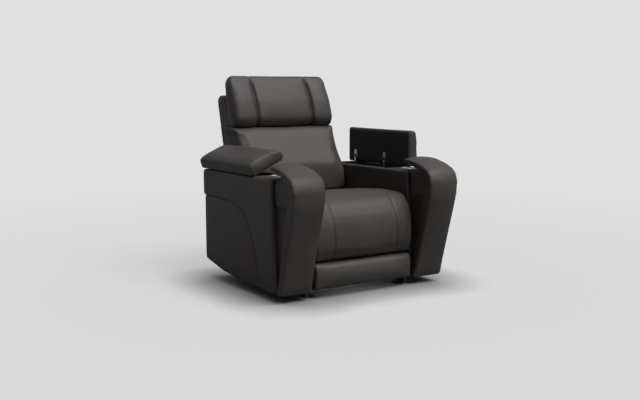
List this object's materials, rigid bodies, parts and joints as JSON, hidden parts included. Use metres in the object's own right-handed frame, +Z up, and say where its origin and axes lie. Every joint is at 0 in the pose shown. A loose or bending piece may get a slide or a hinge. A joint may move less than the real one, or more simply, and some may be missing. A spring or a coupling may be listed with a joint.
{
  "type": "cinema recliner seat",
  "caption": "Power recliner seat with wide storage arms, cup holders, flip lids, a roll-front leg rest, a gliding recline and a tilting headrest.",
  "frame": {"origin": "on the floor, at the centre of the four floor anchor holes", "axes": "+X to the right across the seat as seen from in front of it, +Y from the seat's front to its back, +Z up"},
  "size_m": [1.0295, 1.1144, 1.0861],
  "materials": {
    "leather": "satin grained upholstery leather",
    "wood": "raw plywood",
    "black_paint": "black powder coat",
    "plated_steel": "zinc plated",
    "stainless": "brushed stainless",
    "bin_plastic": "moulded, fine grain",
    "lid_lining": "matt lining",
    "black_plastic": "semi-gloss",
    "button_plastic": "satin",
    "nylon": "moulded nylon"
  },
  "bodies": {
    "base": {"arm_core_left": "wood", "arm_core_right": "wood", "arm_shell_left": "leather", "arm_shell_right": "leather", "side_panel_left": "leather", "side_panel_right": "leather", "front_band_left": "leather", "front_band_right": "leather", "gusset_left": "leather", "gusset_right": "leather", "storage_bin_left": "bin_plastic", "storage_bin_right": "bin_plastic", "cup_holder_left": "stainless", "cup_holder_right": "stainless", "lid_hinge_leaf_left": "plated_steel", "lid_hinge_leaf_right": "plated_steel", "base_rail_left": "black_paint", "base_rail_right": "black_paint", "base_crossbars": "black_paint", "arm_bolts": "plated_steel", "rear_valance": "leather", "recline_cam_left": "plated_steel", "recline_cam_right": "plated_steel", "recline_actuator": "black_paint", "control_plate": "black_plastic"},
    "seat": {"side_plate_left": "black_paint", "side_plate_right": "black_paint", "glide_rollers": "nylon", "carriage_tubes": "black_paint", "seat_frame": "wood", "seat_springs": "plated_steel", "seat_cushion": "leather", "leg_actuator": "black_paint", "recline_nut": "plated_steel"},
    "leg_drive": {"drive_tube": "black_paint"},
    "drive_nut": {"drive_nut": "plated_steel"},
    "rod_left": {"leg_rod_left": "plated_steel"},
    "rod_right": {"leg_rod_right": "plated_steel"},
    "leg": {"leg_board": "wood", "leg_bracket_left": "plated_steel", "leg_bracket_right": "plated_steel", "chaise_pad": "leather", "foot_pad": "leather"},
    "back": {"back_frame": "wood", "back_brackets": "plated_steel", "back_shell": "leather", "lumbar_cushion": "leather"},
    "head": {"head_bracket": "plated_steel", "head_cushion": "leather"},
    "lid_left": {"lid_board_left": "lid_lining", "lid_pad_left": "leather", "lid_hinge_cup_left": "plated_steel"},
    "lid_right": {"lid_board_right": "lid_lining", "lid_pad_right": "leather", "lid_hinge_cup_right": "plated_steel"},
    "button_leg_up": {"button_leg_up": "button_plastic"},
    "button_leg_down": {"button_leg_down": "button_plastic"},
    "button_back": {"button_back": "button_plastic"},
    "button_head": {"button_head": "button_plastic"}
  },
  "joints": [
    {"name": "seat_glide", "type": "slide", "parent": "base", "child": "seat", "axis": [0, -1, 0], "range_m": [0, 0.11]},
    {"name": "back_recline", "type": "hinge", "parent": "seat", "child": "back", "pos_m": [0, 0.265, 0.43], "axis": [-1, 0, 0], "range_deg": [0, 40]},
    {"name": "head_tilt", "type": "hinge", "parent": "back", "child": "head", "pos_m": [0, 0.452, 0.79], "axis": [1, 0, 0], "range_deg": [0, 25]},
    {"name": "leg_lift", "type": "hinge", "parent": "seat", "child": "leg", "pos_m": [0, -0.295, 0.4], "axis": [-1, 0, 0], "range_deg": [0, 86]},
    {"name": "drive_turn", "type": "hinge", "parent": "seat", "child": "leg_drive", "pos_m": [0, -0.095, 0.33], "axis": [-1, 0, 0], "range_deg": [0, 86.5]},
    {"name": "rod_left_turn", "type": "hinge", "parent": "leg_drive", "child": "rod_left", "pos_m": [-0.2785, -0.08, 0.23], "axis": [-1, 0, 0], "range_deg": [-86.5, 0]},
    {"name": "rod_right_turn", "type": "hinge", "parent": "leg_drive", "child": "rod_right", "pos_m": [0.2785, -0.08, 0.23], "axis": [-1, 0, 0], "range_deg": [-86.5, 0]},
    {"name": "drive_nut_slide", "type": "slide", "parent": "seat", "child": "drive_nut", "axis": [0, -1, 0], "range_m": [0, 0.0965]},
    {"name": "lid_right_swing", "type": "hinge", "parent": "base", "child": "lid_right", "pos_m": [0.482, 0.135, 0.607], "axis": [0, 1, 0], "range_deg": [-90, 0]},
    {"name": "lid_left_swing", "type": "hinge", "parent": "base", "child": "lid_left", "pos_m": [-0.482, 0.135, 0.607], "axis": [0, -1, 0], "range_deg": [-25, 65]},
    {"name": "press_leg_up", "type": "slide", "parent": "base", "child": "button_leg_up", "axis": [-1, 0, 0], "range_m": [0, 0.0015], "stiffness_N_per_m": 900, "springref_m": -0.0004},
    {"name": "press_leg_down", "type": "slide", "parent": "base", "child": "button_leg_down", "axis": [-1, 0, 0], "range_m": [0, 0.0015], "stiffness_N_per_m": 900, "springref_m": -0.0004},
    {"name": "press_back", "type": "slide", "parent": "base", "child": "button_back", "axis": [-1, 0, 0], "range_m": [0, 0.0015], "stiffness_N_per_m": 900, "springref_m": -0.0004},
    {"name": "press_head", "type": "slide", "parent": "base", "child": "button_head", "axis": [-1, 0, 0], "range_m": [0, 0.0015], "stiffness_N_per_m": 900, "springref_m": -0.0004}
  ],
  "couplings": [
    {"joint": "seat_glide", "follows": "back_recline", "m_per_rad": 0.15756},
    {"joint": "drive_turn", "follows": "leg_lift", "ratio": 1},
    {"joint": "rod_left_turn", "follows": "leg_lift", "ratio": -1},
    {"joint": "rod_right_turn", "follows": "leg_lift", "ratio": -1},
    {"joint": "drive_nut_slide", "follows": "leg_lift", "m_per_rad": 0.063611}
  ]
}
